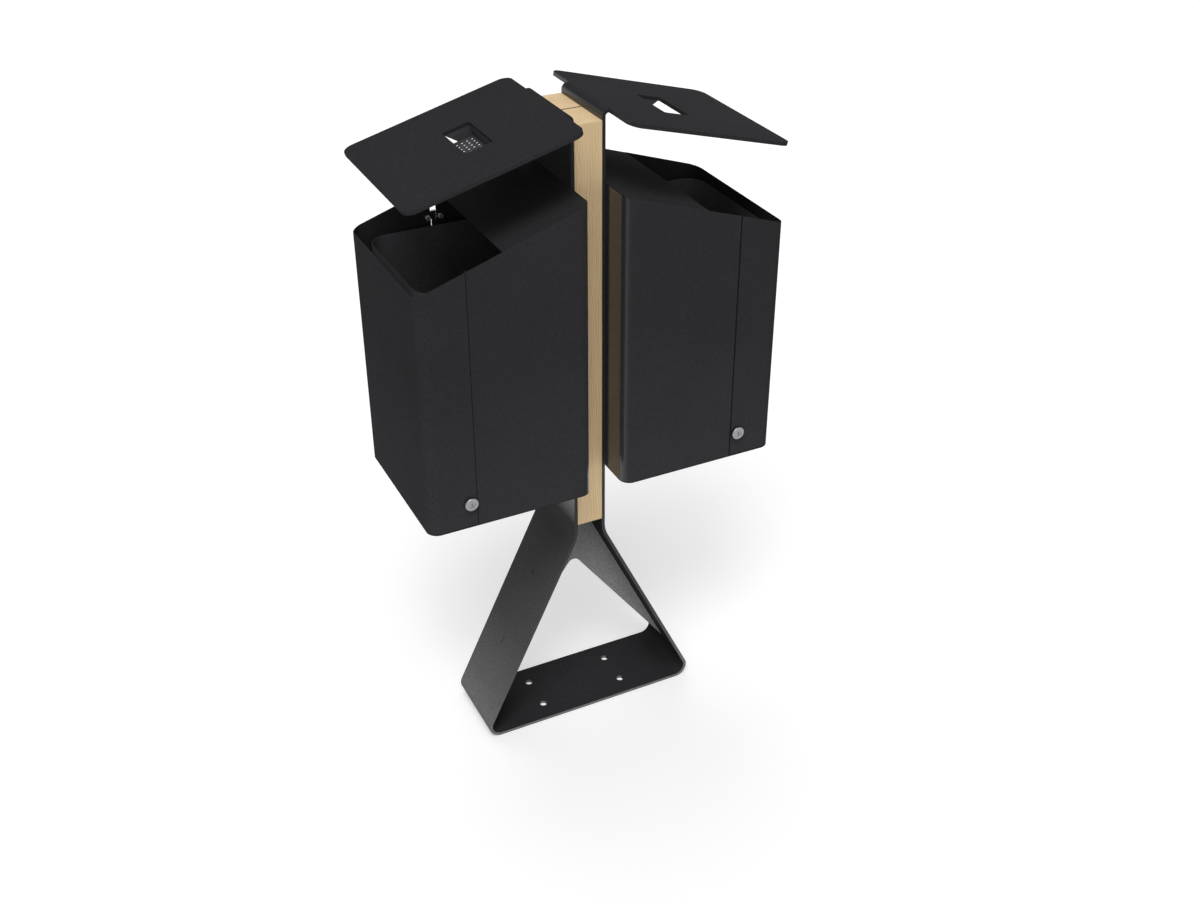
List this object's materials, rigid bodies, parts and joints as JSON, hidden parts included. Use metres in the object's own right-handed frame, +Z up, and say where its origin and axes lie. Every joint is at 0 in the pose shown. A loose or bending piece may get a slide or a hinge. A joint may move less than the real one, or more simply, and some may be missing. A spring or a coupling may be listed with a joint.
{
  "type": "double recycling bin",
  "caption": "Double street bin: two box bins with sloping hoods and hinged locked doors on a wooden post, under two roof plates, on an A-shaped folded steel foot",
  "frame": {"origin": "on the floor, at the centre of the foot plate and of its four floor holes", "axes": "+Z up, X from the left bin to the right bin, the locks and the front face -Y"},
  "size_m": [0.665, 0.3115, 1.212],
  "materials": {
    "black_steel": "fine-textured powder coat, near black",
    "pine": "oiled light pine, straight vertical grain",
    "zinc_steel": "zinc plated",
    "lock_metal": "satin nickel",
    "liner_steel": "matt black coated sheet"
  },
  "bodies": {
    "frame": {"left_side_plate": "black_steel", "right_side_plate": "black_steel", "left_bin_body": "black_steel", "right_bin_body": "black_steel", "left_hood": "black_steel", "right_hood": "black_steel", "left_bin_floor": "black_steel", "right_bin_floor": "black_steel", "left_frame_leaves": "black_steel", "right_frame_leaves": "black_steel", "left_hinge_pins": "zinc_steel", "right_hinge_pins": "zinc_steel", "left_frame_screws": "zinc_steel", "right_frame_screws": "zinc_steel", "left_frame_nuts": "zinc_steel", "right_frame_nuts": "zinc_steel", "left_liner": "liner_steel", "right_liner": "liner_steel", "left_ash_tray": "black_steel", "right_ash_tray": "black_steel", "foot_web": "black_steel", "front_plank": "pine", "back_plank": "pine", "post_bolts": "zinc_steel", "post_bolt_washers": "zinc_steel", "post_bolt_nuts": "zinc_steel"},
    "left_door": {"left_door": "black_steel", "left_door_leaves": "black_steel", "left_door_screws": "zinc_steel", "left_door_nuts": "zinc_steel", "left_lock_barrel": "lock_metal", "left_lock_nut": "lock_metal"},
    "left_lock": {"left_lock_plug": "lock_metal", "left_lock_cam": "zinc_steel", "left_cam_screw": "zinc_steel"},
    "right_door": {"right_door": "black_steel", "right_door_leaves": "black_steel", "right_door_screws": "zinc_steel", "right_door_nuts": "zinc_steel", "right_lock_barrel": "lock_metal", "right_lock_nut": "lock_metal"},
    "right_lock": {"right_lock_plug": "lock_metal", "right_lock_cam": "zinc_steel", "right_cam_screw": "zinc_steel"}
  },
  "joints": [
    {"name": "left_door_hinge", "type": "hinge", "parent": "frame", "child": "left_door", "pos_m": [-0.183, 0.15, 0.81], "axis": [0, 0, -1], "range_deg": [0, 105]},
    {"name": "left_lock_turn", "type": "hinge", "parent": "left_door", "child": "left_lock", "pos_m": [-0.2565, -0.15, 0.606], "axis": [0, -1, 0], "range_deg": [0, 90]},
    {"name": "right_door_hinge", "type": "hinge", "parent": "frame", "child": "right_door", "pos_m": [0.183, 0.15, 0.81], "axis": [0, 0, 1], "range_deg": [0, 105]},
    {"name": "right_lock_turn", "type": "hinge", "parent": "right_door", "child": "right_lock", "pos_m": [0.2565, -0.15, 0.606], "axis": [0, 1, 0], "range_deg": [0, 90]}
  ]
}
